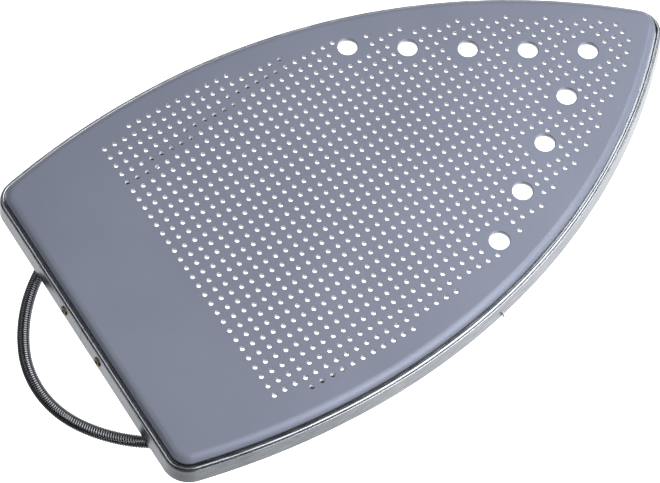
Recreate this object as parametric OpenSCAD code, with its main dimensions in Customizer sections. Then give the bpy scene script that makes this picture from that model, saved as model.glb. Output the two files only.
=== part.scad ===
// Slip-on shoe for a steam iron: a perforated low-friction sole in a bent rim,
// held on the iron's heel by a coil spring. It lies with the working face up.
// Plan outlines are named by their distance from the edge of the flat working face.

/* [Working face] */
// Length of the flat working face, from the rear edge to the nose
face_len = 219.8; // [205:0.1:240]
// Greatest width of the flat working face
face_w = 128.4; // [118:0.1:136]
// Distance from the rear edge to the widest place
widest_at = 65.6; // [58:0.1:75]
// Radius of each side behind the widest place
rear_side_r = 250; // [220:1:320]
// Radius of the nose
nose_r = 4.4; // [3.5:0.1:7]
// Radius of the rear corners
corner_r = 3.9; // [3.5:0.1:8]

/* [Sole plate] */
// Thickness of the sole sheet
sole_t = 1.5; // [1:0.1:1.8]
// Outer radius of the turned-down edge
shoulder_r = 2.4; // [2.2:0.1:3]
// Depth of the turned-down skirt below the working face
skirt_d = 4.4; // [4:0.1:4.8]

/* [Holes] */
// Distance from one small hole to the next, both ways
hole_pitch = 3.8; // [3.6:0.05:3.9]
// Diameter of the small holes
hole_d = 1.6; // [1.2:0.05:2]
// Distance from the rear edge to column number zero of the holes
column_zero = 80; // [78:0.1:84]
// Number of the first column of holes
first_column = -12; // [-13:1:-8]
// Least distance from a small hole's centre to the edge of the flat face
hole_margin = 4.6; // [4:0.1:6]
// Diameter of the steam holes
steam_d = 6.8; // [5:0.1:7.4]
// Place of the foremost steam hole, in columns
steam_front = 30.11; // [29.9:0.01:30.3]
// Step back from one steam hole to the next, in columns
steam_back = 4.55; // [4.5:0.01:4.6]
// Step outwards from one steam hole to the next, in rows
steam_out = 2.975; // [2.94:0.005:3.01]

/* [Rim] */
// Depth of the rim's lower edge below the working face
rim_d = 9.8; // [9.3:0.1:12]
// Depth of the outer lip's top below the working face
lip_d = 3.2; // [2.9:0.1:3.4]
// Width of the gap between the skirt and the outer lip
lip_gap = 0.7; // [0.4:0.05:1]
// Width of the outer lip, which is also the thickness of the flared wall
lip_w = 0.95; // [0.8:0.05:1.2]
// Width of the line between the lip and the wall
groove_w = 0.3; // [0.2:0.05:0.4]
// Depth of the line between the lip and the wall
groove_d = 0.7; // [0.5:0.05:0.9]
// Thickness of the shelf that the skirt stands on
shelf_t = 1; // [0.8:0.05:1.2]
// Thickness of the inner lip, behind the skirt
inner_lip_w = 0.8; // [0.6:0.05:0.85]
// Height of the inner lip above the shelf
inner_lip_h = 1.1; // [0.8:0.1:1.4]
// Outward slope of the wall from its top to its lower edge
flare = 1.25; // [0.8:0.05:1.6]
// Play between the skirt and the rim
seat_play = 0.05; // [0.02:0.01:0.1]
// Gap between the two ends of the rim
seam_gap = 0.15; // [0.1:0.05:0.3]

/* [Joint] */
// Distance between the two rivets
rivet_spacing = 21.6; // [18:0.1:26]
// Depth of the rivets below the working face
rivet_d = 6.9; // [6.7:0.05:7.1]
// Diameter of the rivet heads
rivet_head_d = 3.4; // [3:0.1:3.6]
// Height of the rivet heads
rivet_head_h = 0.5; // [0.3:0.05:0.7]
// Diameter of the rivet shanks
rivet_shank_d = 1.8; // [1.6:0.05:1.9]
// Diameter of the hollow in each rivet
rivet_hollow_d = 1.1; // [0.9:0.05:1.2]
// Length of the strap behind the joint
strap_len = 34; // [30:1:44]
// Width of the strap
strap_w = 3.4; // [3.1:0.1:3.5]
// Thickness of the strap
strap_t = 0.9; // [0.7:0.05:1.2]

/* [Heel spring] */
// Outer diameter of the coil
coil_d = 4.2; // [3.6:0.1:4.6]
// Diameter of the spring wire
wire_d = 0.73; // [0.6:0.01:0.8]
// Gap between the rim's lower edge and the coil under it
coil_gap = 0.3; // [0.2:0.05:0.6]
// Distance from the rear edge to the end hooks
hook_at = 114; // [100:0.5:124]
// Height of the hook holes above the rim's lower edge
hook_hole_h = 1.6; // [1.3:0.1:2]
// Diameter of the hook holes
hook_hole_d = 1.6; // [1.2:0.05:1.8]
// Distance from the rear edge of the face to where the arms start to bend
bend_at = 16.7; // [12:0.1:26]
// Radius of the loop at its back, on the coil's axis
loop_back_r = 35.9; // [32:0.1:40]
// Half of the angle that the back of the loop turns through
loop_back_angle = 26.5; // [20:0.1:34]
// Radius of the loop at its sides, on the coil's axis
loop_side_r = 53; // [46:0.1:62]
// Radius of the slight bow of each arm
arm_r = 1500; // [1000:100:2000]
// Angle by which the spring lies askew
skew = 3.4; // [0:0.1:4.5]

/* [Hidden] */
$fn = 64;
eps = 0.01;

// Last column of small holes in each row, from the middle row outwards
row_ends = [34, 34, 33, 32, 30, 29, 27, 26, 24, 22, 19, 17, 14, 11, 6, 1];
// Columns that each row leaves out beside a steam hole, first and last
row_gaps = [[29, 31], [29, 31], [25, 26], [24, 26], [25, 26], [20, 21], [20, 22], [20, 21],
            [16, 17], [16, 17], [16, 17], [11, 13], [11, 13], [12, 13]];
rows = len(row_ends) - 1;
// The outermost rows start later than the others
outer_row_delay = 3;
steam_pairs = 4;

// The outline of the face is a rear line and four kinds of arc: a corner, the side
// behind and ahead of the widest place, and the nose. They meet at rounded angles.
half_w = face_w / 2;
rear_cy = rear_side_r - half_w;
corner_angle = rounded(90 + asin((widest_at - corner_r) / (rear_side_r - corner_r)));
corner_x = widest_at + (rear_side_r - corner_r) * cos(corner_angle);
corner_y = (rear_side_r - corner_r) * sin(corner_angle) - rear_cy;
nose_back = face_len - widest_at - nose_r;
front_guess_r = (pow(nose_back, 2) + pow(half_w, 2) - pow(nose_r, 2)) / (2 * (half_w - nose_r));
nose_angle = rounded(atan2(front_guess_r - half_w, nose_back));
front_side_r = (half_w - nose_r * sin(nose_angle)) / (1 - sin(nose_angle));
front_cy = front_side_r - half_w;
nose_x = widest_at + (front_side_r - nose_r) * cos(nose_angle);

// Distances of the rim's faces from the edge of the flat face, and their depths
skirt_out = shoulder_r;
skirt_in = shoulder_r - sole_t;
lip_in = skirt_out + lip_gap;
lip_out = lip_in + lip_w;
wall_top = lip_out + groove_w;
wall_out = wall_top + flare;
wall_top_d = lip_d + 0.6;
wall_t = 1.2;
shelf_d = skirt_d + shelf_t;
wall_slope = (flare - 0.2) / (rim_d - wall_top_d);
wall_lean = atan(wall_slope);
wall_in = wall_out - wall_t / cos(wall_lean);
// Play between the wall, the strap and the rivet heads
joint_play = 0.02;

// Heights above the surface that the shoe lies on
coil_r = coil_d / 2;
coil_axis_d = rim_d + coil_gap + coil_r;
face_z = coil_axis_d + coil_r;

// Arms of the spring: they end inside the wall at the hooks, clear of it as the spring swings
hook_clear = 2.6;
// Radius of the hooks' bends, and how far out of the last coil the first bend starts
hook_bend_r = 0.8;
hook_root = 0.6;
arm_end_x = hook_at - hook_bend_r - hook_root;
arm_end_y = outline_y(arm_end_x, wall_in) - coil_r - hook_clear;
side_cy = (loop_side_r - loop_back_r) * sin(loop_back_angle);
bend_reach = arm_end_y + side_cy;
chord_lean = settle_lean(9, 8);
arm_turn = turn_of(chord_lean);
arm_lean = rounded(chord_lean + arm_turn / 2);
side_centre = [bend_at + loop_side_r * sin(arm_lean), -side_cy];
arm_centre = side_centre + (loop_side_r - arm_r) * [-sin(arm_lean), cos(arm_lean)];
back_centre_x = side_centre[0] - (loop_side_r - loop_back_r) * cos(loop_back_angle);

// What the left arm gains in length by lying askew, and the right arm loses
skew_shift = arm_end_y * tan(skew);
skew_turn = rounded(skew_shift / arm_r * 180 / PI);
// Height of the hook holes, and how far out the hooks pass the rim's lower edge
hook_z = hook_hole_h - rim_d;
hook_play = 0.15;
hook_out_y = rounded(outline_y(hook_at, wall_out) + hook_play + wire_d / 2);

// The origin lies below the middle of the whole length
loop_back_x = hook_at + (back_centre_x - hook_at) * cos(skew) - loop_back_r - coil_r;
nose_front_x = nose_x + nose_r + wall_out;
origin_x = (loop_back_x + nose_front_x) / 2;

// An angle or a length to the nearest thousandth
function rounded(v) = round(v * 1000) / 1000;

// Half the width of the outline that lies a given distance outside the face's edge
function outline_y(x, out) =
    x < widest_at ? sqrt(pow(rear_side_r + out, 2) - pow(x - widest_at, 2)) - rear_cy
                  : sqrt(pow(front_side_r + out, 2) - pow(x - widest_at, 2)) - front_cy;

// Distance of a point inside the face from the nearest edge
function edge_distance(x, y) =
    min(x, x < widest_at ? rear_side_r - norm([x - widest_at, abs(y) + rear_cy])
                         : front_side_r - norm([x - widest_at, abs(y) + front_cy]));

// Lean of the arms at which their bends meet the back of the loop, closer at each step
function settle_lean(lean, steps) =
    steps == 0 ? lean : settle_lean(next_lean(lean), steps - 1);

function next_lean(lean) =
    atan((bend_reach - loop_side_r * cos(lean + turn_of(lean) / 2)) / (arm_end_x - bend_at));

// Angle that an arm of this lean turns through between its two ends
function turn_of(lean) = rounded((arm_end_x - bend_at) / cos(lean) / arm_r * 180 / PI);

// True where the row has a small hole in the column
function has_hole(column, row) =
    column <= row_ends[row]
    && (row > len(row_gaps) - 1 || column < row_gaps[row][0] || column > row_gaps[row][1])
    && edge_distance(column_zero + column * hole_pitch, row * hole_pitch) >= hole_margin;

function arc_points(centre, r, from, to, steps) =
    [for (i = [0:steps]) let (a = from + (to - from) * i / steps) centre + r * [cos(a), sin(a)]];

// Places the model in its own frame: the working face up, the nose towards +X
module in_frame() {
    translate([-origin_x, 0, face_z]) children();
}

// Moves in two steps, a rounded one and the small rest, so that pieces meet without a gap
module move(v) {
    step = [for (c = v) round(c * 100) / 100];
    translate(step) translate(v - step) children();
}

// Turns a section about a centre, through the angles from one to the other.
// The section's X is the distance from the edge of the face, which has radius r here.
module bend(centre, r, from, to) {
    move([centre[0], centre[1], 0]) rotate_extrude(angle = to - from, start = from, $fn = 180)
        move([r, 0, 0]) children();
}

// Sweeps a section along the left half of the outline, from the middle of the rear to the nose
module sweep_half(rear_start) {
    move([corner_x - corner_r, corner_y, 0]) rotate([90, 0, 0]) mirror([1, 0, 0])
        linear_extrude(corner_y - rear_start) children();
    bend([corner_x, corner_y], corner_r, corner_angle, 180) children();
    bend([widest_at, -rear_cy], rear_side_r, 90, corner_angle) children();
    bend([widest_at, -front_cy], front_side_r, nose_angle, 90) children();
    bend([nose_x, 0], nose_r, 0, nose_angle) children();
}

module both_halves() {
    children();
    mirror([0, 1, 0]) children();
}

// Section of the sole's edge: a flat band, the shoulder and the skirt
module sole_edge_section(band) {
    translate([-band, -sole_t]) square([band, sole_t]);
    intersection() {
        translate([0, -shoulder_r]) difference() {
            circle(shoulder_r);
            circle(shoulder_r - sole_t);
        }
        translate([0, -shoulder_r]) square(shoulder_r);
    }
    translate([skirt_in, -skirt_d]) square([sole_t, skirt_d - shoulder_r]);
}

// Middle of the sole, whose border lies within the flat band of the edge
module sole_middle(inset) {
    left = concat(
        [[inset, 0]],
        [[inset, corner_y - inset]],
        arc_points([widest_at, -rear_cy], rear_side_r - inset, corner_angle - 1, 90, 8),
        arc_points([widest_at, -front_cy], front_side_r - inset, 90, nose_angle + 1, 16)
    );
    right = [for (i = [len(left) - 1:-1:0]) [left[i][0], -left[i][1]]];
    polygon(concat(left, right));
}

module small_holes() {
    for (row = [-rows:rows], column = [first_column:row_ends[abs(row)]])
        if (has_hole(column, abs(row)) && (abs(row) < rows || column >= first_column + outer_row_delay))
            translate([column_zero + column * hole_pitch, row * hole_pitch]) circle(d = hole_d, $fn = 16);
}

// Steam holes in a V whose point is towards the nose
module steam_holes() {
    for (i = [-steam_pairs:steam_pairs])
        translate([column_zero + (steam_front - abs(i) * steam_back) * hole_pitch, i * steam_out * hole_pitch])
            circle(d = steam_d, $fn = 48);
}

module sole_plate() {
    band = 2.5;
    color("#8b90a2") in_frame() {
        translate([0, 0, -sole_t]) linear_extrude(sole_t) difference() {
            sole_middle(band / 2);
            small_holes();
            steam_holes();
        }
        both_halves() sweep_half(-1) sole_edge_section(band);
    }
}

// Section of the rim: outer lip, shelf, inner lip and flared wall
module rim_section() {
    lip_r = lip_w / 2;
    inner_in = skirt_in - seat_play - inner_lip_w;
    inner_top_d = skirt_d - inner_lip_h;
    translate([lip_in + lip_r, -lip_d - lip_r]) intersection() {
        circle(lip_r);
        translate([-lip_r, 0]) square(2 * lip_r);
    }
    polygon([
        [lip_in, -lip_d - lip_r],
        [lip_out, -lip_d - lip_r],
        [lip_out, -wall_top_d - groove_d],
        [wall_top, -wall_top_d - groove_d],
        [wall_top, -wall_top_d],
        [wall_top + 0.2, -wall_top_d],
        [wall_out, -rim_d],
        [wall_in, -rim_d],
        [wall_in - wall_slope * (rim_d - shelf_d), -shelf_d],
        [inner_in, -shelf_d],
        [inner_in, -inner_top_d],
        [skirt_in - seat_play, -inner_top_d],
        [skirt_in - seat_play, -skirt_d],
        [lip_in, -skirt_d]
    ]);
}

// Places what follows on the flared rear wall: X runs outwards from its outer face
module on_rear_wall(y) {
    out = wall_top + 0.2 + wall_slope * (rivet_d - wall_top_d);
    translate([-out, y, -rivet_d]) rotate([0, 180 + wall_lean, 0]) children();
}

module rim() {
    color("#b4b7ba") in_frame() difference() {
        both_halves() sweep_half(seam_gap / 2) rim_section();
        for (side = [-1, 1]) {
            on_rear_wall(side * rivet_spacing / 2) rotate([0, 90, 0])
                cylinder(d = rivet_shank_d + 0.1, h = 4 * wall_t, center = true);
            translate([hook_at, side * outline_y(hook_at, wall_out), hook_hole_h - rim_d]) rotate([90, 0, 0])
                cylinder(d = hook_hole_d, h = 6 * wall_t, center = true);
        }
    }
}

module joint_strap() {
    color("#9a9da0") in_frame() on_rear_wall(0) difference() {
        translate([-wall_t - joint_play - strap_t, -strap_len / 2, -strap_w / 2])
            cube([strap_t, strap_len, strap_w]);
        for (side = [-1, 1]) translate([0, side * rivet_spacing / 2, 0]) rotate([0, 90, 0])
            cylinder(d = rivet_shank_d + 0.1, h = 8 * wall_t, center = true);
    }
}

// Hollow rivet: a rounded head outside, a shank through wall and strap, and a rolled end inside
module rivet(side) {
    grip = wall_t + strap_t + 2 * joint_play;
    color("#b08a3c") in_frame() on_rear_wall(side * rivet_spacing / 2) rotate([0, 90, 0])
        difference() {
            union() {
                translate([0, 0, joint_play])
                    cylinder(d1 = rivet_head_d, d2 = rivet_head_d - 0.8, h = rivet_head_h);
                translate([0, 0, -grip - eps]) cylinder(d = rivet_shank_d, h = grip + joint_play + 2 * eps);
                translate([0, 0, -grip - rivet_head_h]) cylinder(d = rivet_shank_d + 0.8, h = rivet_head_h);
            }
            translate([0, 0, -grip]) cylinder(d = rivet_hollow_d, h = grip + 1);
        }
}

module rivet_left() {
    rivet(1);
}

module rivet_right() {
    rivet(-1);
}

// Where the wire leaves the last coil, for the left side or the right one: within the coil,
// on its outer side. The coil's axis there is the end of the arm's bow, turned askew.
function leg_y(side) =
    let (a = 90 + arm_lean - arm_turn - side * skew_turn, end = arm_centre + arm_r * [cos(a), sin(a)])
    rounded(end[1] * cos(skew) + side * (end[0] - hook_at) * sin(skew) + coil_r - 1.25 * wire_d);

// Straight piece of hook wire from a point, in the plane across the shoe
module rod(from, angle, length) {
    move([from[0], from[1], 0]) rotate([0, 0, angle]) rotate([0, 90, 0])
        cylinder(d = wire_d, h = length, $fn = 32);
}

// Bend of hook wire round a centre, a quarter turn from the starting angle
module elbow(centre, start) {
    move([centre[0], centre[1], 0]) rotate_extrude(angle = 90, start = start, $fn = 48)
        translate([hook_bend_r, 0]) circle(d = wire_d, $fn = 32);
}

// End hook: it runs out of the last coil, rises, passes out through the wall and turns down outside
module hook(side) {
    b = hook_bend_r;
    leg = leg_y(side);
    root = 3 * hook_root;
    leg_len = rounded(coil_axis_d + hook_z - 2 * b);
    translate([hook_at, side * leg, 0]) rotate([90, 0, 0]) {
        rod([-b - root, -coil_axis_d], 0, root);
        elbow([-b, b - coil_axis_d], 270);
    }
    translate([hook_at, 0, 0]) rotate([90, 0, 90]) mirror([side < 0 ? 1 : 0, 0, 0]) {
        rod([leg, b - coil_axis_d], 90, leg_len);
        elbow([leg + b, hook_z - b], 90);
        rod([leg + b, hook_z], 0, hook_out_y - leg - 2 * b);
        elbow([hook_out_y - b, hook_z - b], 0);
        rod([hook_out_y, hook_z - b], 270, hook_hole_h);
    }
}

// One half of the coil's path: the nearly straight arm, the side bend and the back bend
module half_coil(r, turn) {
    move([0, 0, -coil_axis_d]) {
        bend(arm_centre, arm_r, 90 + arm_lean - turn, 90 + arm_lean) circle(r);
        bend(side_centre, loop_side_r, 90 + arm_lean, 180 - loop_back_angle) circle(r);
        bend([back_centre_x, 0], loop_back_r, 180 - loop_back_angle, 180) circle(r);
    }
}

module heel_spring() {
    color("#3b3d40") in_frame() {
        translate([hook_at, 0, 0]) rotate([0, 0, skew]) translate([-hook_at, 0, 0]) {
            half_coil(coil_r, arm_turn + skew_turn);
            mirror([0, 1, 0]) half_coil(coil_r, arm_turn - skew_turn);
        }
        hook(1);
        hook(-1);
    }
}

sole_plate();
rim();
joint_strap();
rivet_left();
rivet_right();
heel_spring();
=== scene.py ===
"""Dresses a slip-on shoe for a steam iron: a perforated sole in a bent rim, with a coil spring at the heel.

All sizes in the classes are millimetres in the model's frame: +X to the nose, +Y to the left side, +Z up
from the surface that the shoe lies on. Meshes are written in metres.
"""

import logging
import math
from dataclasses import dataclass, field
from enum import Enum
from typing import Sequence

import bmesh
import bpy
import numpy as np
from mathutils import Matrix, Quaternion, Vector
from mathutils.geometry import delaunay_2d_cdt


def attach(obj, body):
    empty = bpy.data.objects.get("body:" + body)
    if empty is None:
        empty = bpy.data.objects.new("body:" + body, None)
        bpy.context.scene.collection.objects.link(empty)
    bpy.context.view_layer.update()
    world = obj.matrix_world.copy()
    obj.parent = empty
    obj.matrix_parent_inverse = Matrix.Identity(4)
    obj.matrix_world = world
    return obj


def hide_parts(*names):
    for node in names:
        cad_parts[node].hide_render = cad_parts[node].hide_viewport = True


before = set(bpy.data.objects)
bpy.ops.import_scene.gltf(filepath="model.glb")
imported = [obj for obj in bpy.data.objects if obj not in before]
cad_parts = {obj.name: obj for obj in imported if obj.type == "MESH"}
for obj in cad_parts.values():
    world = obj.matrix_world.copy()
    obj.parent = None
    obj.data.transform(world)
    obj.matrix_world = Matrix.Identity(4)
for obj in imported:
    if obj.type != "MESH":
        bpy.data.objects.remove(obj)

LOG = logging.getLogger("iron_shoe")
MM = 0.001
REAR_EDGE_X = -99.2821  # where the flat face's rear edge lies along X
FACE_Z = 14.3  # height of the working face
WALL_TOP = (4.55, 3.8)  # the rim's outer wall: how far out and how deep below the face it starts
WALL_FOOT = (5.6, 9.8)  # how far out and how deep it ends
WELD = 1e-6  # vertices closer than this, in metres, become one
LEVEL = 0.99999  # a face whose normal has at least this much Z is level
BROAD_NOISE = (0.25, 0.75)  # noise values that give a finish its two colours
FINE_NOISE = (0.3, 0.7)  # noise values that give a finish its least and its most roughness
WORN_EDGE = 0.04  # rise of the noise over which the worn colour comes in


class Side(Enum):
    """The two sides of the shoe, each with the sign of its Y."""

    LEFT = 1
    RIGHT = -1


# Shapes worked out as arrays


@dataclass
class Surface:
    """Vertices and faces that are gathered before they become one mesh."""

    points: list[np.ndarray] = field(default_factory=list)
    faces: list[np.ndarray] = field(default_factory=list)
    uvs: list[np.ndarray] = field(default_factory=list)
    slots: list[np.ndarray] = field(default_factory=list)
    count: int = 0

    def add(self, points: np.ndarray, faces: np.ndarray, uv: np.ndarray | None = None, slot: int = 0) -> None:
        """Adds one patch.

        Args:
            points: vertices, n by 3, in millimetres.
            faces: corner numbers, m by 3 or m by 4, counted from this patch's first vertex.
            uv: one pair for each vertex, in millimetres along and across the patch.
            slot: which of the piece's finishes the patch has.
        """
        self.points.append(points)
        self.faces.append(faces + self.count)
        self.uvs.append(np.zeros((len(points), 2)) if uv is None else uv)
        self.slots.append(np.full(len(faces), slot, np.int32))
        self.count += len(points)

    def build(self, name: str, sharp: float, weld: float = WELD, cap: bool = False) -> bpy.types.Object:
        """Makes the mesh object, welded where patches meet and smooth up to an angle.

        Level faces are shaded flat, so that a rounded edge beside one doesn't bend its reflections.

        Args:
            name: the object's name.
            sharp: edges that turn by more than this many degrees stay sharp.
            weld: vertices closer than this, in metres, become one.
            cap: whether open ends are closed with a flat face.

        Returns:
            The linked object, with a UV map in metres.
        """
        mesh = bpy.data.meshes.new(name)
        corners = [f for block in self.faces for f in block.tolist()]
        mesh.from_pydata((np.concatenate(self.points) * MM).tolist(), [], corners)
        uv = np.concatenate(self.uvs) * MM
        index = np.empty(len(mesh.loops), np.int32)
        mesh.loops.foreach_get("vertex_index", index)
        layer = mesh.uv_layers.new(name="surface")
        layer.data.foreach_set("uv", uv[index].astype(np.float32).ravel())
        mesh.polygons.foreach_set("material_index", np.concatenate(self.slots))
        work = bmesh.new()
        work.from_mesh(mesh)
        bmesh.ops.remove_doubles(work, verts=work.verts, dist=weld)
        if cap:
            bmesh.ops.holes_fill(work, edges=[e for e in work.edges if e.is_boundary])
        bmesh.ops.recalc_face_normals(work, faces=work.faces)
        work.to_mesh(mesh)
        work.free()
        mesh.shade_smooth()
        mesh.set_sharp_from_angle(angle=math.radians(sharp))
        normals = np.empty(len(mesh.polygons) * 3, np.float32)
        mesh.polygons.foreach_get("normal", normals)
        mesh.polygons.foreach_set("use_smooth", np.abs(normals[2::3]) < LEVEL)
        obj = bpy.data.objects.new(name, mesh)
        bpy.context.scene.collection.objects.link(obj)
        return obj


def grid_faces(rows: int, columns: int, wrap_rows: bool = False, wrap_columns: bool = False) -> np.ndarray:
    """Quads over a grid of rows by columns of vertices, each joining a vertex to its next in both ways.

    Args:
        rows: how many rows of vertices there are.
        columns: how many vertices each row has.
        wrap_rows: whether the last row joins the first.
        wrap_columns: whether each row's last vertex joins its first.

    Returns:
        Corner numbers, m by 4.
    """
    i = np.arange(rows if wrap_rows else rows - 1)[:, None]
    j = np.arange(columns if wrap_columns else columns - 1)[None, :]
    i2, j2 = (i + 1) % rows, (j + 1) % columns
    return np.stack(
        np.broadcast_arrays(i * columns + j, i2 * columns + j, i2 * columns + j2, i * columns + j2), -1
    ).reshape(-1, 4)


def rounded_profile(corners: Sequence[tuple[float, float, float]], steps: int = 4, closed: bool = True) -> np.ndarray:
    """A profile whose corners are rounded.

    At each corner the arc touches both sides at r times the tangent of half the turn from it, and its points
    are the tangent points turned about the arc's centre by equal angles.

    Args:
        corners: (outward distance, height, radius) of each corner.
        steps: how many pieces each rounding has.
        closed: whether the last corner joins the first.

    Returns:
        Points, n by 2.
    """
    pts = np.array([c[:2] for c in corners], float)
    out: list[np.ndarray] = []
    last = len(corners) - 1
    for i, (x, y, r) in enumerate(corners):
        if r <= 0 or (not closed and i in (0, last)):
            out.append(np.array([[x, y]]))
            continue
        here = pts[i]
        a, b = pts[i - 1] - here, pts[(i + 1) % len(corners)] - here
        a, b = a / np.linalg.norm(a), b / np.linalg.norm(b)
        half = math.acos(float(np.clip(a @ b, -1, 1))) / 2
        centre = here + (a + b) / np.linalg.norm(a + b) * r / math.sin(half)
        start = here + a * r / math.tan(half) - centre
        end = here + b * r / math.tan(half) - centre
        first = math.atan2(start[1], start[0])
        turn = (math.atan2(end[1], end[0]) - first + math.pi) % (2 * math.pi) - math.pi
        angle = first + turn * np.linspace(0, 1, steps + 1)
        out.append(centre + r * np.stack([np.cos(angle), np.sin(angle)], 1))
    return np.concatenate(out)


def supported(profile: np.ndarray, gap: float = 0.15) -> np.ndarray:
    """A closed profile with two more points on each long side, one gap from its ends.

    The points are the ends moved towards each other, and they keep a rounded corner from bending the shading of
    the flat beside it.

    Args:
        profile: points, n by 2.
        gap: distance of each new point from the end of its side.

    Returns:
        Points, n by 2.
    """
    step = np.roll(profile, -1, axis=0) - profile
    length = np.linalg.norm(step, axis=1)
    out = []
    for point, way, long in zip(profile, step / np.maximum(length, 1e-9)[:, None], length):
        out.append(point)
        if long > 5 * gap:
            out += [point + gap * way, point + (long - gap) * way]
    return np.array(out)


@dataclass(frozen=True)
class FaceOutline:
    """Edge of the flat working face: a rear line, then on each side a corner, two side arcs and half the nose."""

    widest_x: float = REAR_EDGE_X + 65.6
    half_width: float = 64.2
    rear_side_r: float = 250.0
    front_side_r: float = 221.923
    corner_r: float = 3.9
    corner_angle: float = 104.52  # direction from +X in which the corner meets the rear side arc
    nose_r: float = 4.4
    nose_angle: float = 46.476  # direction from +X in which the front side arc meets the nose
    stations: tuple[int, ...] = (12, 14, 24, 48, 10)  # along the rear, the corner, both side arcs, and the nose

    def half(self, start_y: float, fine: int = 1) -> tuple[np.ndarray, np.ndarray]:
        """Stations along the left half, from the middle of the rear to the nose's tip.

        A point on an arc is its centre plus the radius times (cos a, sin a), and its normal is (cos a, sin a).

        Args:
            start_y: distance of the first station from the middle.
            fine: how many times as many stations as usual.

        Returns:
            Points and outward normals, n by 2 each.
        """
        rear_cy = self.rear_side_r - self.half_width
        front_cy = self.front_side_r - self.half_width
        turn = math.radians(self.corner_angle)
        corner = np.array(
            [
                self.widest_x + (self.rear_side_r - self.corner_r) * math.cos(turn),
                (self.rear_side_r - self.corner_r) * math.sin(turn) - rear_cy,
            ]
        )
        reach = (self.front_side_r - self.nose_r) * math.cos(math.radians(self.nose_angle))
        arcs = [
            (corner, self.corner_r, 180.0, self.corner_angle),
            (np.array([self.widest_x, -rear_cy]), self.rear_side_r, self.corner_angle, 90.0),
            (np.array([self.widest_x, -front_cy]), self.front_side_r, 90.0, self.nose_angle),
            (np.array([self.widest_x + reach, 0.0]), self.nose_r, self.nose_angle, 0.0),
        ]
        y = np.linspace(start_y, corner[1], self.stations[0] * fine + 1)[:-1]
        points = [np.stack([np.full_like(y, corner[0] - self.corner_r), y], 1)]
        normals = [np.tile([-1.0, 0.0], (len(y), 1))]
        for (centre, r, start, end), steps in zip(arcs, self.stations[1:]):
            a = np.radians(np.linspace(start, end, steps * fine + 1))
            if end != 0.0:
                a = a[:-1]
            n = np.stack([np.cos(a), np.sin(a)], 1)
            points.append(centre + r * n)
            normals.append(n)
        return np.concatenate(points), np.concatenate(normals)

    def loop(self, seam: float = 0.0, fine: int = 1) -> tuple[np.ndarray, np.ndarray]:
        """Stations all round: the left half, then the right half mirrored and turned back.

        Args:
            seam: width of the gap at the middle of the rear, or 0 for a closed loop.
            fine: how many times as many stations as usual.

        Returns:
            Points and outward normals, n by 2 each.
        """
        p, n = self.half(seam / 2, fine)
        back = slice(len(p) - 2, None if seam else 0, -1)
        flip = np.array([1.0, -1.0])
        return np.concatenate([p, p[back] * flip]), np.concatenate([n, n[back] * flip])


def sweep(
    profile: np.ndarray, stations: tuple[np.ndarray, np.ndarray], closed_profile: bool, closed_path: bool
) -> tuple[np.ndarray, np.ndarray, np.ndarray]:
    """Carries a profile along the stations: each vertex is station + outward distance times normal, at its height.

    Args:
        profile: (outward distance, height), k by 2.
        stations: points and normals of the path.
        closed_profile: whether the profile's last point joins its first.
        closed_path: whether the last station joins the first.

    Returns:
        Vertices n by 3, faces m by 4, and the lengths along the path and round the profile.
    """
    p, n = stations
    xy = p[:, None, :] + profile[None, :, :1] * n[:, None, :]
    z = np.broadcast_to(profile[None, :, 1:], (len(p), len(profile), 1))
    along = np.concatenate([[0], np.cumsum(np.linalg.norm(np.diff(p, axis=0), axis=1))])
    across = np.concatenate([[0], np.cumsum(np.linalg.norm(np.diff(profile, axis=0), axis=1))])
    uv = np.stack(np.broadcast_arrays(along[:, None], across[None, :]), -1).reshape(-1, 2)
    faces = grid_faces(len(p), len(profile), closed_path, closed_profile)
    return np.concatenate([xy, z], 2).reshape(-1, 3), faces, uv


def tube(path: np.ndarray, side: np.ndarray, radius: float, sides: int) -> tuple[np.ndarray, np.ndarray]:
    """Round wire along a path: each ring is the path's point plus radius times (e1 cos t + e2 sin t).

    e1 is the given side direction made square to the path, and e2 is the path's direction crossed with e1.

    Args:
        path: points, n by 3.
        side: a direction across the path at each point, n by 3.
        radius: the wire's radius.
        sides: corners of the wire's section.

    Returns:
        Vertices and faces. Both ends are left open.
    """
    t = np.gradient(path, axis=0)
    t /= np.linalg.norm(t, axis=1, keepdims=True)
    e1 = side - (side * t).sum(1, keepdims=True) * t
    e1 /= np.linalg.norm(e1, axis=1, keepdims=True)
    e2 = np.cross(t, e1)
    a = 2 * np.pi * np.arange(sides) / sides
    ring = path[:, None, :] + radius * (
        np.cos(a)[None, :, None] * e1[:, None, :] + np.sin(a)[None, :, None] * e2[:, None, :]
    )
    return ring.reshape(-1, 3), grid_faces(len(path), sides, False, True)


# Finishes


def hex_colour(code: str) -> tuple[float, float, float, float]:
    """Turns an sRGB hex code to a linear colour: c / 12.92 near black, else ((c + 0.055) / 1.055) to the 2.4.

    Args:
        code: six hex digits such as "8a8f9c".

    Returns:
        Red, green, blue and an alpha of 1.
    """
    s = [int(code[i : i + 2], 16) / 255 for i in (0, 2, 4)]
    r, g, b = (c / 12.92 if c <= 0.04045 else ((c + 0.055) / 1.055) ** 2.4 for c in s)
    return r, g, b, 1.0


def add_node(
    tree: bpy.types.NodeTree, kind: str, inputs: dict[str | int, object] | None = None, **settings: object
) -> bpy.types.Node:
    """Adds a node, sets its properties, and sets or links its inputs.

    Args:
        tree: the node tree.
        kind: the node's type name.
        inputs: for each socket a value, or the output socket that feeds it.
        **settings: properties of the node.

    Returns:
        The new node.
    """
    node = tree.nodes.new(kind)
    for key, value in settings.items():
        setattr(node, key, value)
    for key, value in (inputs or {}).items():
        if isinstance(value, bpy.types.NodeSocket):
            tree.links.new(value, node.inputs[key])
        else:
            node.inputs[key].default_value = value
    return node


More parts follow.
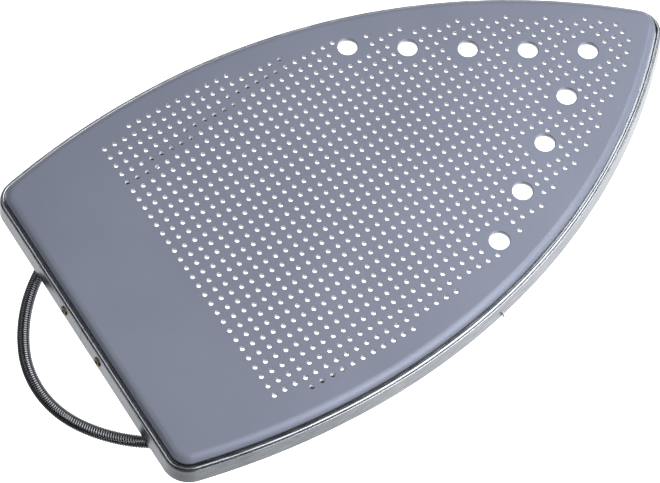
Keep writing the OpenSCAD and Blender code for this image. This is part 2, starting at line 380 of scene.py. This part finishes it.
def mix_colours(
    tree: bpy.types.NodeTree, factor: bpy.types.NodeSocket, first: object, second: object
) -> bpy.types.NodeSocket:
    """Adds a node that gives first (1 - factor) + second factor.

    Args:
        tree: the node tree.
        factor: the output socket that gives the factor.
        first: a linear colour or an output socket.
        second: a linear colour or an output socket.

    Returns:
        The output socket of the mixed colour.
    """
    mixed = add_node(tree, "ShaderNodeMix", {0: factor, 6: first, 7: second}, data_type="RGBA")
    return mixed.outputs[2]


class Coordinates(Enum):
    """Which of a piece's coordinates a pattern follows."""

    OBJECT = "Object"
    SURFACE = "UV"


@dataclass(frozen=True)
class Finish:
    """A material of one piece: colour that drifts a little, gloss that varies, a fine relief, worn specks, and painted
    shade below a given height.
    """

    name: str
    colour: str
    light_colour: str
    metallic: float
    roughness: float
    rough_spread: float
    grain_mm: tuple[float, float, float]
    relief_mm: float
    drift_mm: float = 40.0
    coordinates: Coordinates = Coordinates.OBJECT
    streaks: float = 0.0  # share of the fine noise in the colour
    worn_colour: str = ""
    worn_mm: tuple[float, float, float] = (1.0, 1.0, 1.0)
    worn_from: float = 0.7  # value of the noise from which the worn colour starts
    painted_shade_colour: str = ""
    painted_shade_z: tuple[float, float] = (0.0, 1.0)  # heights at and below which the painted shade is full, and above which there is none

    def material(self) -> bpy.types.Material:
        """Builds the node tree: broad noise and streaks for colour, stretched fine noise for gloss and relief.

        Returns:
            The new material.
        """
        made = bpy.data.materials.new(self.name)
        made.use_nodes = True
        tree = made.node_tree
        shader = tree.nodes["Principled BSDF"]
        place = add_node(tree, "ShaderNodeTexCoord").outputs[self.coordinates.value]
        broad = add_node(
            tree, "ShaderNodeTexNoise", {"Vector": place, "Scale": 1 / (self.drift_mm * MM), "Detail": 3.0}
        )
        fine_place = add_node(
            tree,
            "ShaderNodeMapping",
            {"Vector": place, "Scale": tuple(1 / (g * MM) for g in self.grain_mm)},
        )
        fine = add_node(
            tree, "ShaderNodeTexNoise", {"Vector": fine_place.outputs[0], "Scale": 1.0, "Detail": 2.0}
        )
        spread = add_node(
            tree, "ShaderNodeMix", {0: self.streaks, 2: broad.outputs["Fac"], 3: fine.outputs["Fac"]}
        )
        shade = add_node(
            tree,
            "ShaderNodeMapRange",
            {"Value": spread.outputs[0], "From Min": BROAD_NOISE[0], "From Max": BROAD_NOISE[1]},
        )
        colour = mix_colours(tree, shade.outputs[0], hex_colour(self.colour), hex_colour(self.light_colour))
        if self.worn_colour:
            worn_place = add_node(
                tree, "ShaderNodeMapping", {"Vector": place, "Scale": tuple(1 / (w * MM) for w in self.worn_mm)}
            )
            specks = add_node(
                tree, "ShaderNodeTexNoise", {"Vector": worn_place.outputs[0], "Scale": 1.0, "Detail": 4.0}
            )
            mask = add_node(
                tree,
                "ShaderNodeMapRange",
                {"Value": specks.outputs["Fac"], "From Min": self.worn_from, "From Max": self.worn_from + WORN_EDGE},
            )
            colour = mix_colours(tree, mask.outputs[0], colour, hex_colour(self.worn_colour))
        # Painted shade: below the given heights the colour turns dark, standing in for the shadow in a crevice
        if self.painted_shade_colour:
            height = add_node(tree, "ShaderNodeSeparateXYZ", {0: place})
            full_shade_z, unshaded_z = (z * MM for z in self.painted_shade_z)
            painted_shade = add_node(
                tree, "ShaderNodeMapRange", {"Value": height.outputs["Z"], "From Min": unshaded_z, "From Max": full_shade_z}
            )
            colour = mix_colours(tree, painted_shade.outputs[0], colour, hex_colour(self.painted_shade_colour))
        gloss = add_node(
            tree,
            "ShaderNodeMapRange",
            {
                "Value": fine.outputs["Fac"],
                "From Min": FINE_NOISE[0],
                "From Max": FINE_NOISE[1],
                "To Min": self.roughness - self.rough_spread,
                "To Max": self.roughness + self.rough_spread,
            },
        )
        tree.links.new(colour, shader.inputs["Base Color"])
        tree.links.new(gloss.outputs[0], shader.inputs["Roughness"])
        shader.inputs["Metallic"].default_value = self.metallic
        bump = add_node(
            tree,
            "ShaderNodeBump",
            {"Height": fine.outputs["Fac"], "Distance": self.relief_mm * MM, "Strength": 1.0},
        )
        tree.links.new(bump.outputs[0], shader.inputs["Normal"])
        return made


# Fluoropolymer coating sprayed on pressed aluminium: a soft, faintly speckled blue-grey satin, with a thin black line
# of painted shade low on the skirt, standing in for the shadow where the sheet dips into the rim
COATED_SHEET = Finish(
    name="sprayed non-stick coating on aluminium",
    colour="777d8d",
    light_colour="7f8596",
    metallic=0.42,
    roughness=0.5,
    rough_spread=0.03,
    grain_mm=(0.5, 0.5, 0.5),
    relief_mm=0.004,
    # Painted shade: the near-black colour low on the skirt stands in for the shadow in the gap under the rim's lip
    painted_shade_colour="101218",
    painted_shade_z=(11.2, 11.8),
)
# Bare aluminium where a punch went through the sheet after it was coated: a bright, slightly torn wall
PUNCHED_EDGE = Finish(
    name="bare punched aluminium",
    colour="e4e5e9",
    light_colour="ecedf0",
    metallic=1.0,
    roughness=0.35,
    rough_spread=0.06,
    grain_mm=(0.3, 0.3, 0.3),
    relief_mm=0.01,
)
# Drawn aluminium profile, brushed along its length: silvery, with streaks that follow the rim and a few dark nicks.
# Real brush lines are some 0.05 mm wide; these are 0.6 mm, so that they show.
DRAWN_RIM = Finish(
    name="drawn aluminium profile",
    colour="898d94",
    light_colour="ccd0d5",
    metallic=1.0,
    roughness=0.28,
    rough_spread=0.1,
    grain_mm=(6.0, 0.6, 1.0),
    relief_mm=0.008,
    drift_mm=25.0,
    coordinates=Coordinates.SURFACE,
    streaks=0.7,
    worn_colour="54565b",
    worn_mm=(2.2, 0.9, 1.0),
    worn_from=0.72,
)
# Rolled aluminium strip, left as it was cut: dull and even
ROLLED_STRIP = Finish(
    name="rolled aluminium strip",
    colour="9fa2a6",
    light_colour="a8abaf",
    metallic=1.0,
    roughness=0.45,
    rough_spread=0.05,
    grain_mm=(0.4, 4.0, 0.4),
    relief_mm=0.01,
)
# Turned brass: warm and fairly bright, darker in its hollow
TURNED_BRASS = Finish(
    name="turned brass",
    colour="6f6548",
    light_colour="857a58",
    metallic=1.0,
    roughness=0.3,
    rough_spread=0.06,
    grain_mm=(0.2, 0.2, 0.2),
    relief_mm=0.008,
    drift_mm=3.0,
)
# Hard-drawn spring wire with its oil-dark skin: nearly black with sharp small highlights
SPRING_WIRE = Finish(
    name="hard-drawn spring wire",
    colour="6a6c70",
    light_colour="7c7e82",
    metallic=1.0,
    roughness=0.1,
    rough_spread=0.03,
    grain_mm=(0.3, 0.3, 0.3),
    relief_mm=0.004,
    drift_mm=12.0,
)
# The same wire where it rubs in the rim's holes: its dark skin is gone, and the steel shines
WORN_WIRE = Finish(
    name="rubbed bright wire ends",
    colour="c0c2c5",
    light_colour="ced0d3",
    metallic=0.7,
    roughness=0.35,
    rough_spread=0.05,
    grain_mm=(0.3, 0.3, 0.3),
    relief_mm=0.004,
    drift_mm=3.0,
)


def dress(obj: bpy.types.Object, *materials: bpy.types.Material) -> None:
    """Gives a piece its materials, the last one in every slot that is left.

    Args:
        obj: the piece.
        *materials: one for each slot, in order.
    """
    for material in materials[len(obj.data.materials) :]:
        obj.data.materials.append(material)
    for i in range(len(obj.data.materials)):
        obj.data.materials[i] = materials[min(i, len(materials) - 1)]


# The pieces of the shoe


@dataclass
class SoleSheet:
    """The pressed sole: a flat face full of holes with softly rolled edges, a round shoulder and a short skirt."""

    outline: FaceOutline = field(default_factory=FaceOutline)
    thickness: float = 1.5
    shoulder_r: float = 2.4  # drop of the shoulder, and how far it reaches past the outline
    shoulder_run: float = 2.5  # width of the shoulder
    skirt: float = 4.4
    foot_r: float = 0.15
    pitch: float = 3.8
    hole_r: float = 0.8
    hole_roll: float = 0.12
    hole_sides: int = 16
    steam_r: float = 3.4
    steam_roll: float = 0.3
    steam_sides: int = 48
    column_zero_x: float = REAR_EDGE_X + 80.0
    first_column: int = -12
    corner_skip: int = 3  # first columns that the two outermost rows leave out
    steam_front: float = 30.11  # column of the foremost steam hole
    steam_step: tuple[float, float] = (4.55, 2.975)  # from one steam hole to the next, in pitches
    steam_pairs: int = 4
    margin: float = 4.6
    row_ends: tuple[int, ...] = (34, 34, 33, 32, 30, 29, 27, 26, 24, 22, 19, 17, 14, 11, 6, 1)
    row_gaps: tuple[tuple[int, int], ...] = (
        (29, 31),
        (29, 31),
        (25, 26),
        (24, 26),
        (25, 26),
        (20, 21),
        (20, 22),
        (20, 21),
        (16, 17),
        (16, 17),
        (16, 17),
        (11, 13),
        (11, 13),
        (12, 13),
    )

    def small_holes(self) -> np.ndarray:
        """Centres of the small holes: every grid point that the row ends, the steam gaps and the margin leave.

        A row's number is its distance from the middle, and its gap is the first and last column that it leaves out.

        Returns:
            Points, h by 2.
        """
        last = len(self.row_ends) - 1
        centres = []
        for row in range(-last, last + 1):
            k = abs(row)
            start = self.first_column + (self.corner_skip if k == last else 0)
            column = np.arange(start, self.row_ends[k] + 1)
            if k < len(self.row_gaps):
                first_out, last_out = self.row_gaps[k]
                column = column[(column < first_out) | (column > last_out)]
            y = np.full(len(column), row * self.pitch)
            centres.append(np.stack([self.column_zero_x + column * self.pitch, y], 1))
        found = np.concatenate(centres)
        o = self.outline
        r = np.where(found[:, 0] < o.widest_x, o.rear_side_r, o.front_side_r)
        inside = r - np.hypot(found[:, 0] - o.widest_x, np.abs(found[:, 1]) + r - o.half_width)
        return found[inside >= self.margin]

    def steam_holes(self) -> np.ndarray:
        """Centres of the nine steam holes, in a V whose point is towards the nose.

        Returns:
            Points, 9 by 2, from the right side to the left.
        """
        i = np.arange(-self.steam_pairs, self.steam_pairs + 1)
        x = self.column_zero_x + (self.steam_front - np.abs(i) * self.steam_step[0]) * self.pitch
        return np.stack([x, i * self.steam_step[1] * self.pitch], 1)

    def rings(self, centres: np.ndarray, radius: float, sides: int) -> np.ndarray:
        """Circles round the centres: centre + radius (cos a, sin a), as h by sides by 2."""
        a = 2 * np.pi * (np.arange(sides) + 0.5) / sides
        return centres[:, None, :] + radius * np.stack([np.cos(a), np.sin(a)], 1)[None]

    def flat_triangles(self, edge: np.ndarray, small: np.ndarray, steam: np.ndarray) -> np.ndarray:
        """Triangles of the flat sheet between its edge and the rings round the holes.

        Args:
            edge: the outline's points, n by 2.
            small: rings of the small holes, h by s by 2.
            steam: rings of the steam holes, h by s by 2.

        Returns:
            Corner numbers into edge, small and steam laid end to end, m by 3.
        """
        loops = [np.arange(len(edge))]
        start = len(edge)
        for rings in (small, steam):
            ids = start + np.arange(rings.shape[0] * rings.shape[1]).reshape(rings.shape[:2])
            loops += list(ids)
            start += ids.size
        points = np.concatenate([edge, small.reshape(-1, 2), steam.reshape(-1, 2)])
        ring_of = np.full(len(points), -1)
        edges = []
        for number, ids in enumerate(loops):
            ring_of[ids] = number
            edges += np.stack([ids, np.roll(ids, -1)], 1).tolist()
        # The outline is convex, so output type 0, all triangles in the hull, is the whole sheet
        result = delaunay_2d_cdt([Vector(p) for p in points.tolist()], edges, [], 0, 1e-6, True)
        source = np.array([ids[0] for ids in result[3]])
        tris = source[np.array([f for f in result[2] if len(f) == 3])]
        rings = ring_of[tris]
        in_hole = (rings[:, 0] == rings[:, 1]) & (rings[:, 1] == rings[:, 2]) & (rings[:, 0] > 0)
        return tris[~in_hole]

    def hole_walls(self, surface: Surface, centres: np.ndarray, r: float, roll: float, sides: int) -> None:
        """Adds the rolled edges, which are coated, and the bare walls of a set of holes.

        The roll is a quarter circle: radius r + roll (1 - sin t), depth roll (1 - cos t), and the wall runs on
        straight down from it.

        Args:
            surface: what the patches are added to.
            centres: the holes' centres, h by 2.
            r: radius of the wall.
            roll: radius of the rolled edge.
            sides: corners of each ring.
        """
        t = np.radians([0.0, 45.0, 90.0])
        radii = np.concatenate([r + roll * (1 - np.sin(t)), [r]])
        depth = np.concatenate([roll * (1 - np.cos(t)), [self.thickness]])
        for slot, rows in ((0, slice(0, 3)), (1, slice(2, 4))):
            xy = np.stack([self.rings(centres, radius, sides) for radius in radii[rows]], 1)
            z = np.broadcast_to((FACE_Z - depth[rows])[None, :, None, None], xy.shape[:3] + (1,))
            points = np.concatenate([xy, z], 3).reshape(-1, 3)
            one = grid_faces(xy.shape[1], sides, False, True)
            faces = (one[None] + (np.arange(len(centres)) * xy.shape[1] * sides)[:, None, None]).reshape(-1, 4)
            surface.add(points, faces[:, ::-1], points[:, :2], slot)

    def build(self) -> bpy.types.Object:
        """Builds the sheet as one closed mesh.

        The shoulder is a quarter of an ellipse: outward distance run cos a, height r sin a, less what brings its
        top to the face and its side to r past the outline. The inner shoulder is the same, less the thickness.

        Returns:
            The linked object.
        """
        surface = Surface()
        stations = self.outline.loop()
        start = self.shoulder_run - self.shoulder_r
        edge = stations[0] - start * stations[1]
        small, steam = self.small_holes(), self.steam_holes()
        top = [
            self.rings(small, self.hole_r + self.hole_roll, self.hole_sides),
            self.rings(steam, self.steam_r + self.steam_roll, self.steam_sides),
        ]
        low = [self.rings(small, self.hole_r, self.hole_sides), self.rings(steam, self.steam_r, self.steam_sides)]
        tris = self.flat_triangles(edge, *top)
        for rings, z, order in ((top, FACE_Z, 1), (low, FACE_Z - self.thickness, -1)):
            flat = np.concatenate([edge, rings[0].reshape(-1, 2), rings[1].reshape(-1, 2)])
            surface.add(np.column_stack([flat, np.full(len(flat), z)]), tris[:, ::order], flat)
        self.hole_walls(surface, small, self.hole_r, self.hole_roll, self.hole_sides)
        self.hole_walls(surface, steam, self.steam_r, self.steam_roll, self.steam_sides)
        outer, inner = self.shoulder_r, self.shoulder_r - self.thickness
        # The second station lies close to the first and keeps the shoulder from bending the face's shading
        a = np.radians(np.concatenate([[90.0, 88.8], np.linspace(80, 0, 9)]))
        arc = np.stack([np.cos(a), np.sin(a)], 1)
        foot = rounded_profile(
            [
                (outer, -outer, 0),
                (outer, -self.skirt, self.foot_r),
                (inner, -self.skirt, self.foot_r),
                (inner, -outer, 0),
            ],
            steps=2,
            closed=False,
        )
        shell = np.concatenate(
            [
                arc * [outer + start, outer] - [start, outer],
                foot[1:-1],
                arc[::-1] * [inner + start, inner] - [start, outer],
            ]
        )
        surface.add(*sweep(shell + [0, FACE_Z], stations, False, True))
        return surface.build("pressed_sole", sharp=50.0)


@dataclass
class BentRim:
    """The rim's profile bent all round the sole, its two ends butted at the middle of the rear."""

    outline: FaceOutline = field(default_factory=FaceOutline)
    seam: float = 0.15
    # Distance past the outline, height against the face, and radius of each corner of the section
    corners: tuple[tuple[float, float, float], ...] = (
        # the outer lip, from the floor of the channel
        (3.1, -4.4, 0.0),
        (3.1, -3.2, 0.42),
        (4.05, -3.2, 0.42),
        # the groove between the lip and the wall
        (4.05, -4.5, 0.1),
        (4.35, -4.5, 0.1),
        (4.35, -3.8, 0.08),
        # the flared wall, outside and inside
        (WALL_TOP[0], -WALL_TOP[1], 0.15),
        (WALL_FOOT[0], -WALL_FOOT[1], 0.25),
        (4.382, -WALL_FOOT[1], 0.25),
        (3.612, -5.4, 0.1),
        # the underside of the channel, and the inner lip
        (0.05, -5.4, 0.1),
        (0.05, -3.3, 0.15),
        (0.85, -3.3, 0.15),
        (0.85, -4.4, 0.0),
    )

    def build(self) -> bpy.types.Object:
        """Sweeps the rounded section from one side of the seam to the other and closes both ends.

        Returns:
            The linked object.
        """
        surface = Surface()
        section = supported(rounded_profile(self.corners, 4)) + [0, FACE_Z]
        surface.add(*sweep(section, self.outline.loop(self.seam, fine=2), True, False))
        return surface.build("bent_rim", sharp=30.0, cap=True)


@dataclass
class HeelSpring:
    """The close-wound spring: two slightly bowed arms, two side bends and the back of the loop, with an end hook each.

    The real turns lie 0.72 mm apart. These lie 0.8 mm apart, so that they show one by one.
    """

    coil_r: float = 2.1
    wire_r: float = 0.375
    pitch: float = 0.8
    axis_z: float = 2.1
    pivot_x: float = REAR_EDGE_X + 114.0  # the two hooks
    bend_x: float = REAR_EDGE_X + 16.7  # where the arms go over into the side bends
    lean: float = 10.422  # degrees between an arm and the shoe's length, at the side bend
    arm_r: float = 1500.0
    arm_turns: tuple[float, float] = (3.892, 3.624)  # degrees that the left and the right arm turn
    side_r: float = 53.0
    back_r: float = 35.9
    back_angle: float = 26.5  # half of the degrees that the back of the loop turns
    skew: float = 3.4  # degrees that the whole loop lies askew
    hook_z: float = 6.1
    hook_out_y: float = 65.107
    bend_r: float = 0.8
    hook_tip: float = 0.5
    per_turn: int = 18
    coil_sides: int = 8
    hook_sides: int = 12

    def centre_line(self) -> tuple[np.ndarray, np.ndarray]:
        """Axis of the coil from the left hook round the loop to the right hook.

        The heading changes evenly along each arc, and the points are its running sum.

        Returns:
            Points n by 2 and headings in radians, after the loop is turned askew. There are per_turn points to a
            turn of wire, and half a turn more than a whole number of turns.
        """
        bend = math.radians(90 - self.lean - self.back_angle)
        back = math.radians(self.back_angle)
        left, right = (math.radians(turn) for turn in self.arm_turns)
        lengths = [
            self.arm_r * left,
            self.side_r * bend,
            2 * self.back_r * back,
            self.side_r * bend,
            self.arm_r * right,
        ]
        breaks = np.concatenate([[0], np.cumsum(lengths)])
        lean = math.radians(self.lean)
        heads = np.cumsum([-left, left, bend, 2 * back, bend, right]) + math.pi + lean
        turns = int(breaks[-1] / self.pitch) + 0.5
        s = np.linspace(0, breaks[-1], int(turns * self.per_turn) + 1)
        step = s[1] - s[0]
        heading = np.interp(s, breaks, heads)
        middle = np.interp(s[:-1] + step / 2, breaks, heads)
        run = np.concatenate([[[0, 0]], np.cumsum(step * np.stack([np.cos(middle), np.sin(middle)], 1), 0)])
        at_bend = np.array([np.interp(breaks[1], s, run[:, 0]), np.interp(breaks[1], s, run[:, 1])])
        side_cy = (self.side_r - self.back_r) * math.sin(back)
        points = run - at_bend + [self.bend_x, self.side_r * math.cos(lean) - side_cy]
        k = math.radians(self.skew)
        turn = np.array([[math.cos(k), -math.sin(k)], [math.sin(k), math.cos(k)]])
        pivot = np.array([self.pivot_x, 0.0])
        return (points - pivot) @ turn.T + pivot, heading + k

    def hook_path(self, side: Side, start: np.ndarray) -> tuple[np.ndarray, np.ndarray]:
        """Middle of one hook's wire: straight up from the last turn, out through the wall and down outside it.

        Each bend is a quarter circle between two straight runs.

        Args:
            side: which hook.
            start: where the last turn of the coil ends, on the way up.

        Returns:
            Points, n by 3, and a direction across the wire at each.
        """
        leg = abs(start[1])
        b, z, out = self.bend_r, self.hook_z, self.hook_out_y
        t = np.linspace(0, np.pi / 2, 8)
        yz = np.concatenate(
            [
                [[leg, start[2]]],
                np.stack([leg + b - b * np.cos(t), z - b + b * np.sin(t)], 1),
                np.stack([out - b + b * np.sin(t), z - b + b * np.cos(t)], 1),
                [[out, z - b - self.hook_tip]],
            ]
        )
        x = np.interp(yz[:, 1], [start[2], z - b], [start[0], self.pivot_x])
        x[len(t) + 1 :] = self.pivot_x  # past the first bend the wire keeps to the hinge's line
        path = np.column_stack([x, side.value * yz[:, 0], yz[:, 1]])
        return path, np.tile([1.0, 0.0, 0.0], (len(path), 1))

    def build(self) -> bpy.types.Object:
        """Winds the wire round the centre line: its middle is the axis plus r (n cos p + z sin p).

        The winding angle p starts at half a turn, so that the wire comes down off the left hook on the coil's
        outer side, and ends on a whole turn, so that it goes up into the right hook on its inner side.

        Returns:
            The linked object.
        """
        surface = Surface()
        centre, heading = self.centre_line()
        phase = np.pi + 2 * np.pi * np.arange(len(centre)) / self.per_turn
        normal = np.stack([-np.sin(heading), np.cos(heading), np.zeros_like(heading)], 1)
        up = np.array([0.0, 0.0, 1.0])
        radial = np.cos(phase)[:, None] * normal + np.sin(phase)[:, None] * up
        axis = np.column_stack([centre, np.full(len(centre), self.axis_z)])
        wire = axis + (self.coil_r - self.wire_r) * radial
        surface.add(*tube(wire, radial, self.wire_r, self.coil_sides))
        for side, end in ((Side.LEFT, wire[0]), (Side.RIGHT, wire[-1])):
            surface.add(*tube(*self.hook_path(side, end), self.wire_r, self.hook_sides), slot=1)
        return surface.build("wound_spring", sharp=60.0, weld=1e-9, cap=True)


@dataclass
class TubularRivet:
    """A hollow rivet: a low rolled head on the rear wall, its hollow, and the clinched end inside."""

    side: Side
    node: str
    head_r: float = 1.7
    head_h: float = 0.45
    hollow_r: float = 0.6
    shank_r: float = 0.9
    clinch_r: float = 1.3
    clinch_h: float = 0.5
    grip: float = 2.1
    depth: float = 6.9  # below the face
    spacing: float = 21.6
    sides: int = 32

    def build(self) -> bpy.types.Object:
        """Turns the rivet's section about its axis, which stands square on the flared rear wall.

        A point at radius r and height h is the centre + h axis + r (e1 cos a + e2 sin a).

        Returns:
            The linked object.
        """
        slope = (WALL_FOOT[0] - WALL_TOP[0]) / (WALL_FOOT[1] - WALL_TOP[1])
        lean = math.atan(slope)
        out = WALL_TOP[0] + slope * (self.depth - WALL_TOP[1])
        end = -self.grip - self.clinch_h
        section = rounded_profile(
            [
                (0.0, -self.grip, 0.0),
                (self.hollow_r, -self.grip, 0.0),
                (self.hollow_r, self.head_h, 0.25),
                (self.head_r, self.head_h, 0.35),
                (self.head_r, 0.0, 0.0),
                (self.shank_r, 0.0, 0.0),
                (self.shank_r, -self.grip, 0.0),
                (self.clinch_r, -self.grip, 0.1),
                (self.clinch_r, end, 0.2),
                (0.0, end, 0.0),
            ],
            closed=False,
        )
        a = 2 * np.pi * np.arange(self.sides) / self.sides
        r, h = section[:, 0][None, :], section[:, 1][None, :]
        axis = np.array([-math.cos(lean), 0.0, math.sin(lean)])
        e1, e2 = np.array([0.0, 1.0, 0.0]), np.array([math.sin(lean), 0.0, math.cos(lean)])
        centre = np.array([REAR_EDGE_X - out, self.side.value * self.spacing / 2, FACE_Z - self.depth])
        points = centre + (
            h[..., None] * axis
            + (r * np.cos(a)[:, None])[..., None] * e1
            + (r * np.sin(a)[:, None])[..., None] * e2
        )
        surface = Surface()
        surface.add(points.reshape(-1, 3), grid_faces(self.sides, len(section), True, False))
        return surface.build(f"brass_{self.node}", sharp=50.0)


# The setting


@dataclass(frozen=True)
class SoftBox:
    """A square white studio light that looks at the shoe, in metres and watts."""

    name: str
    place: tuple[float, float, float]
    size: float
    power: float

    def build(self) -> None:
        """Adds the light, turned to the middle of the shoe."""
        data = bpy.data.lights.new(self.name, "AREA")
        data.shape, data.size, data.energy = "SQUARE", self.size, self.power
        obj = bpy.data.objects.new(self.name, data)
        obj.location = self.place
        obj.rotation_euler = (-obj.location).to_track_quat("-Z", "Y").to_euler()
        bpy.context.scene.collection.objects.link(obj)


@dataclass
class Studio:
    """White floor, soft light mostly from the near side, and the photograph's camera."""

    camera_place: tuple[float, float, float] = (-198.299, -275.737, 564.977)
    camera_target: tuple[float, float, float] = (-20.746, -16.348, 14.3)
    camera_roll: float = 1.902
    focal_px: float = 1960.09
    picture_px: int = 660
    sensor_mm: float = 36.0
    clip_m: tuple[float, float] = (0.05, 20.0)
    room_grey: float = 0.1
    table_grey: float = 1.45
    light_way: tuple[float, float, float] = (0.62, 0.3, -0.72)
    dark_until: float = -0.2  # cosine of the angle to light_way, up to which the room is at its darkest
    floor_glow: float = 1.0
    floor_half_m: float = 3.0
    floor_z_m: float = -0.15
    boxes: tuple[SoftBox, ...] = (
        SoftBox("near_box", (0.44, -0.715, 0.99), 1.2, 16.0),  # the light band along the near shoulder
        SoftBox("top_box", (1.2, 0.25, 1.95), 1.1, 18.0),  # the even light on the face, more towards the nose
        SoftBox("rear_box", (-0.85, 0.46, 1.0), 0.8, 3.0),  # a dim light in the rear lip and the coil
        SoftBox("low_box", (0.43, -1.17, 0.42), 0.9, 8.0),  # the steep part of the near shoulder
    )

    def camera(self) -> None:
        """Adds the camera, whose lens gives the photograph's focal length in pixels."""
        data = bpy.data.cameras.new("camera")
        data.sensor_width = self.sensor_mm
        data.lens = self.sensor_mm * self.focal_px / self.picture_px
        data.clip_start, data.clip_end = self.clip_m
        obj = bpy.data.objects.new("camera", data)
        obj.location = Vector(self.camera_place) * MM
        look = (Vector(self.camera_target) - Vector(self.camera_place)).to_track_quat("-Z", "Y")
        obj.rotation_euler = (look @ Quaternion((0, 0, 1), math.radians(self.camera_roll))).to_euler()
        bpy.context.scene.collection.objects.link(obj)
        bpy.context.scene.camera = obj

    def floor(self) -> None:
        """Adds the floor, a white sheet that glows as a lit table does, clear when it is seen from below.

        It lies lower than the shoe, so that the spring doesn't swing through it.
        """
        mesh = bpy.data.meshes.new("floor")
        s, z = self.floor_half_m, self.floor_z_m
        mesh.from_pydata([(-s, -s, z), (s, -s, z), (s, s, z), (-s, s, z)], [], [(0, 1, 2, 3)])
        obj = bpy.data.objects.new("floor", mesh)
        bpy.context.scene.collection.objects.link(obj)
        made = bpy.data.materials.new("white light table")
        made.use_nodes = True
        tree = made.node_tree
        shader = tree.nodes["Principled BSDF"]
        shader.inputs["Base Color"].default_value = hex_colour("f4f4f4")
        shader.inputs["Roughness"].default_value = 0.9
        shader.inputs["Emission Color"].default_value = hex_colour("ffffff")
        shader.inputs["Emission Strength"].default_value = self.floor_glow
        facing = add_node(tree, "ShaderNodeNewGeometry").outputs["Backfacing"]
        clear = add_node(tree, "ShaderNodeBsdfTransparent").outputs[0]
        seen = add_node(tree, "ShaderNodeMixShader", {0: facing, 1: shader.outputs[0], 2: clear})
        tree.links.new(seen.outputs[0], tree.nodes["Material Output"].inputs["Surface"])
        mesh.materials.append(made)
        obj.visible_glossy = False

    def lights(self) -> None:
        """Adds the room, dark but for a lit table that is lightest below and beyond the nose, and the soft boxes.

        The room's light in a direction goes evenly with the cosine of its angle to light_way.
        """
        world = bpy.data.worlds.new("studio")
        world.use_nodes = True
        tree = world.node_tree
        back = tree.nodes["Background"]
        back.inputs["Color"].default_value = hex_colour("ffffff")
        way = add_node(tree, "ShaderNodeTexCoord").outputs["Generated"]
        cosine = add_node(tree, "ShaderNodeVectorMath", {0: way, 1: self.light_way}, operation="DOT_PRODUCT")
        grey = add_node(
            tree,
            "ShaderNodeMapRange",
            {
                "Value": cosine.outputs["Value"],
                "From Min": self.dark_until,
                "To Min": self.room_grey,
                "To Max": self.table_grey,
            },
        )
        tree.links.new(grey.outputs[0], back.inputs["Strength"])
        bpy.context.scene.world = world
        for box in self.boxes:
            box.build()

    def build(self) -> None:
        """Builds the camera, the floor and the lights."""
        self.camera()
        self.floor()
        self.lights()
        bpy.context.scene.view_settings.view_transform = "Standard"


def main() -> None:
    """Builds every piece in order and says which CAD node it stands for."""
    logging.basicConfig(level=logging.INFO, format="%(message)s")
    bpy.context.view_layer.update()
    rivets = [TubularRivet(Side.LEFT, "rivet_left"), TubularRivet(Side.RIGHT, "rivet_right")]
    pieces = [
        (SoleSheet().build(), "sole_plate", "shoe", "sole_coating", (COATED_SHEET, PUNCHED_EDGE)),
        (BentRim().build(), "rim", "shoe", "rim_metal", (DRAWN_RIM,)),
        (HeelSpring().build(), "heel_spring", "spring", "spring_steel", (SPRING_WIRE, WORN_WIRE)),
    ]
    pieces += [(rivet.build(), rivet.node, "shoe", "rivet_brass", (TURNED_BRASS,)) for rivet in rivets]
    made: dict[str, bpy.types.Material] = {}
    for obj, node, body, slot, finishes in pieces:
        for finish in finishes:
            if finish.name not in made:
                made[finish.name] = finish.material()
        dress(obj, *(made[finish.name] for finish in finishes))
        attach(obj, body)
        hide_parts(node)
        LOG.info("%s stands for %s, %d faces", obj.name, node, len(obj.data.polygons))
    dress(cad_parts["joint_strap"], ROLLED_STRIP.material())
    Studio().build()


if __name__ == "__main__":
    main()
